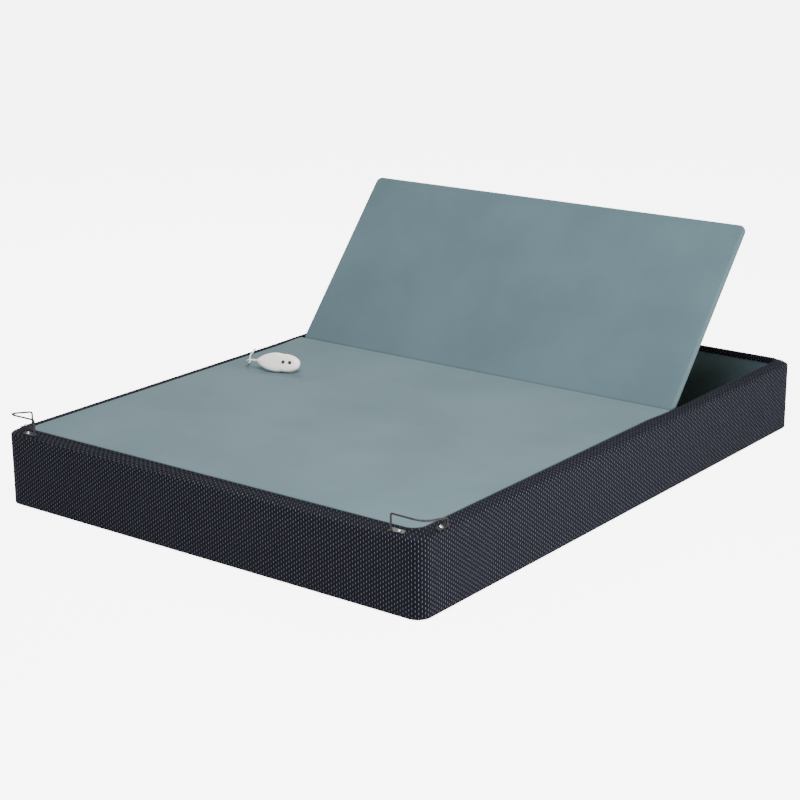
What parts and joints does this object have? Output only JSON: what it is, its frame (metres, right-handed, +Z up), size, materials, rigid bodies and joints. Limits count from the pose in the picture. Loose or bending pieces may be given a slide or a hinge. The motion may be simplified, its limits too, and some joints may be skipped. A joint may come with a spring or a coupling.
{
  "type": "adjustable bed base",
  "caption": "Upholstered adjustable bed base: head panel raised by a linear actuator, wire mattress retainer bars at the foot corners, corded handset on the deck",
  "frame": {"origin": "centre of the base's footprint, on the floor", "axes": "+X to the right seen from the foot end, +Y from the foot end to the head end, +Z up"},
  "size_m": [1.6295, 2.032, 0.7179],
  "materials": {
    "border_cloth": "dark woven cloth with small light stitches, matt",
    "deck_cloth": "grey-green upholstery cloth, matt, faint nap",
    "dust_cloth": "black non-woven cloth",
    "pine": "planed softwood, unfinished",
    "plywood": "birch plywood, unfinished",
    "black_steel": "black powder coat, satin",
    "zinc": "zinc plated",
    "bright_steel": "bright polished steel",
    "grey_plastic": "glass-filled nylon, matt grey",
    "black_plastic": "moulded black plastic, fine grain",
    "white_plastic": "moulded off-white plastic, soft gloss",
    "white_cord": "off-white cord jacket",
    "black_rubber": "moulded black rubber"
  },
  "bodies": {
    "base": {"actuator_bracket": "black_steel", "actuator_joist": "pine", "actuator_rear_pin": "zinc", "bay_liner": "deck_cloth", "border_foot": "border_cloth", "border_head": "border_cloth", "border_left": "border_cloth", "border_right": "border_cloth", "control_box": "black_plastic", "cord_coil": "white_cord", "cord_end": "white_cord", "cord_grommet": "black_rubber", "corner_block_foot_left": "pine", "corner_block_foot_right": "pine", "corner_block_head_left": "pine", "corner_block_head_right": "pine", "deck_board": "plywood", "deck_joist": "pine", "deck_pad": "deck_cloth", "dust_cover": "dust_cloth", "floor_glide_foot_left": "black_plastic", "floor_glide_foot_right": "black_plastic", "floor_glide_head_left": "black_plastic", "floor_glide_head_right": "black_plastic", "foot_rail": "pine", "handset_cord": "white_cord", "head_rail": "pine", "hinge_base_leaf_left": "black_steel", "hinge_base_leaf_right": "black_steel", "hinge_beam": "black_steel", "hinge_pin_left": "zinc", "hinge_pin_right": "zinc", "retainer_left": "black_steel", "retainer_right": "black_steel", "retainer_screw_left_foot": "bright_steel", "retainer_screw_left_side": "bright_steel", "retainer_screw_right_foot": "bright_steel", "retainer_screw_right_side": "bright_steel", "side_rail_left": "pine", "side_rail_right": "pine"},
    "head": {"head_pad": "deck_cloth", "head_board": "plywood", "head_tube_left": "black_steel", "head_tube_right": "black_steel", "head_cross_tube": "black_steel", "hinge_head_leaf_left": "black_steel", "hinge_head_leaf_right": "black_steel", "lift_lever_left": "black_steel", "lift_lever_right": "black_steel"},
    "actuator": {"actuator_gearbox": "grey_plastic", "actuator_motor": "black_steel", "actuator_tube": "grey_plastic", "lead_screw": "bright_steel"},
    "rod": {"actuator_rod": "bright_steel", "actuator_front_pin": "zinc"},
    "handset": {"handset_face": "white_plastic", "handset_back": "white_plastic", "cord_strain_relief": "white_cord"},
    "button_lower": {"handset_button_lower": "black_plastic"},
    "button_raise": {"handset_button_raise": "black_plastic"}
  },
  "joints": [
    {"name": "head_hinge", "type": "hinge", "parent": "base", "child": "head", "pos_m": [0, 0.314, 0.205], "axis": [1, 0, 0], "range_deg": [-49.36, 12.64]},
    {"name": "actuator_swing", "type": "hinge", "parent": "base", "child": "actuator", "pos_m": [0, -0.2, 0.075], "axis": [1, 0, 0], "range_deg": [-4.08, 1.09]},
    {"name": "actuator_stroke", "type": "slide", "parent": "actuator", "child": "rod", "axis": [0, 0.9973, 0.0737], "range_m": [-0.0939, 0.0248]},
    {"name": "handset_lift", "type": "slide", "parent": "base", "child": "handset", "axis": [0, 0, 1], "range_m": [0, 0.08]},
    {"name": "button_lower_press", "type": "slide", "parent": "handset", "child": "button_lower", "axis": [-0.2532, 0.8282, -0.5], "range_m": [0, 0.001], "stiffness_N_per_m": 400},
    {"name": "button_raise_press", "type": "slide", "parent": "handset", "child": "button_raise", "axis": [-0.2532, 0.8282, -0.5], "range_m": [0, 0.001], "stiffness_N_per_m": 400}
  ],
  "couplings": [
    {"joint": "actuator_swing", "follows": "head_hinge", "ratio": 0.0815},
    {"joint": "actuator_stroke", "follows": "head_hinge", "m_per_rad": 0.1078}
  ]
}
